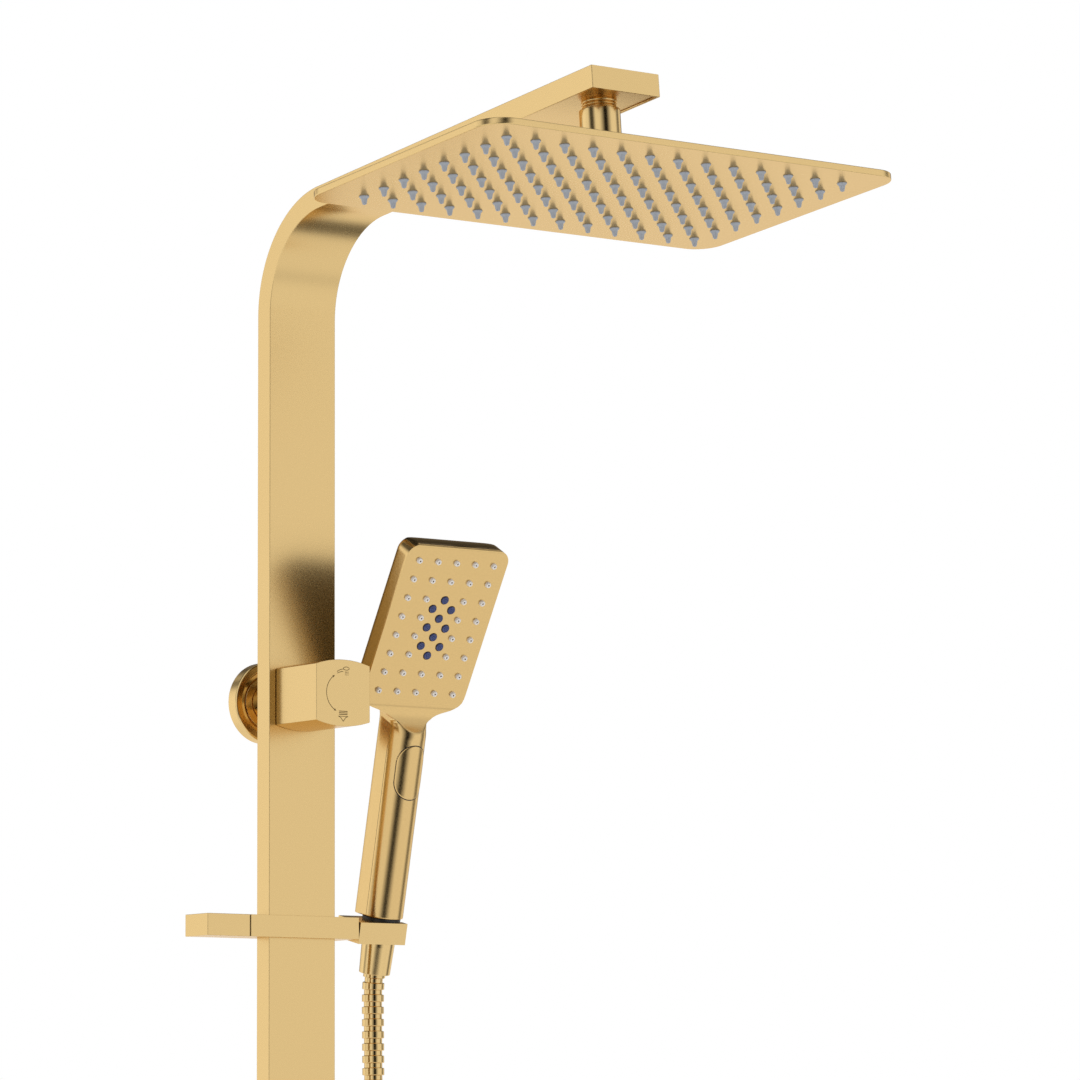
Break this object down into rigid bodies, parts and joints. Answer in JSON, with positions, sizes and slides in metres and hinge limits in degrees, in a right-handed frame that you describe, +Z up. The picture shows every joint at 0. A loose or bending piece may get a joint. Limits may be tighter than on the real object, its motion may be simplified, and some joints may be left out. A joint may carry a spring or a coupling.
{
  "type": "rainfall shower column",
  "caption": "Flat riser column with an arched arm, rectangular rain head on a ball joint, turning diverter, sliding holder and tilting hand shower on a hose.",
  "frame": {"origin": "centre of the upper wall inlet, on the wall plane", "axes": "+Z up along the riser, +Y into the wall, the arm points to -Y, X is the width"},
  "size_m": [0.3, 0.4618, 1.6411],
  "materials": {
    "satin_gold": "satin brushed gold plating",
    "plated_plastic": "gold plated plastic, satin",
    "raw_brass": "machined",
    "grey_silicone": "matt",
    "pale_silicone": "matt",
    "blue_silicone": "matt",
    "black_plastic": "matt",
    "steel": "machined"
  },
  "bodies": {
    "column": {"riser_column": "satin_gold", "column_end_cap": "black_plastic", "upper_water_pipe": "raw_brass", "lower_water_pipe": "raw_brass", "wall_flange": "satin_gold", "inlet_tube": "satin_gold", "inlet_washer": "black_plastic", "lower_wall_flange": "satin_gold", "lower_bracket_post": "satin_gold", "lower_bracket_screw": "steel", "diverter_base": "satin_gold", "diverter_cartridge": "raw_brass", "neck_stem": "satin_gold", "ball_nut": "satin_gold", "outlet_nipple": "satin_gold", "outlet_washer": "black_plastic", "hose_bottom_nut": "satin_gold", "hose": "satin_gold"},
    "diverter": {"diverter_knob": "satin_gold", "diverter_spindle": "raw_brass", "knob_grub_screw": "steel"},
    "ball_side": {"ball_seat_upper": "black_plastic"},
    "ball_front": {"ball_seat_lower": "black_plastic"},
    "rain_head": {"head_ball": "satin_gold", "head_hub_ring": "satin_gold", "head_cover": "satin_gold", "head_faceplate": "satin_gold", "head_nozzle_mat": "grey_silicone"},
    "slider": {"slider_body": "satin_gold", "clamp_pad": "black_plastic", "cradle_pivot": "raw_brass"},
    "clamp": {"clamp_knob": "satin_gold", "clamp_screw": "raw_brass"},
    "cradle": {"cradle": "satin_gold", "cradle_bush": "black_plastic"},
    "handset": {"handset_back": "plated_plastic", "handset_front": "plated_plastic", "handset_faceplate": "plated_plastic", "handset_nozzles": "pale_silicone", "handset_jets": "blue_silicone", "handset_inlet": "raw_brass", "button_spring": "steel", "hose_top_nut": "satin_gold"},
    "button": {"mode_button": "plated_plastic"}
  },
  "joints": [
    {"name": "diverter_turn", "type": "hinge", "parent": "column", "child": "diverter", "pos_m": [0, -0.0462, 0], "axis": [0, -1, 0], "range_deg": [-90, 90]},
    {"name": "head_tilt_side", "type": "hinge", "parent": "column", "child": "ball_side", "pos_m": [0, -0.36483, 0.306], "axis": [0, -0.9963, 0.0854], "range_deg": [-12, 12]},
    {"name": "head_tilt_front", "type": "hinge", "parent": "ball_side", "child": "ball_front", "pos_m": [0, -0.36483, 0.306], "axis": [1, 0, 0], "range_deg": [-12, 12]},
    {"name": "head_turn", "type": "hinge", "parent": "ball_front", "child": "rain_head", "pos_m": [0, -0.36483, 0.306], "axis": [0, 0.0854, 0.9963], "range_deg": [-90, 90]},
    {"name": "slider_travel", "type": "slide", "parent": "column", "child": "slider", "axis": [0, 0, 1], "range_m": [-0.4, 0.1], "deforming": ["hose"]},
    {"name": "clamp_turn", "type": "hinge", "parent": "slider", "child": "clamp", "pos_m": [0, -0.037, -0.1455], "axis": [1, 0, 0], "range_deg": [-90, 90]},
    {"name": "cradle_tilt", "type": "hinge", "parent": "slider", "child": "cradle", "pos_m": [0, -0.037, -0.1455], "axis": [1, 0, 0], "range_deg": [-15, 20]},
    {"name": "handset_lift", "type": "slide", "parent": "cradle", "child": "handset", "axis": [0, -0.2224, 0.975], "range_m": [0, 0.06]},
    {"name": "button_press", "type": "slide", "parent": "handset", "child": "button", "axis": [0, 0.975, 0.2224], "range_m": [0, 0.0025], "stiffness_N_per_m": 900, "springref_m": -0.002, "deforming": ["button_spring"]}
  ]
}
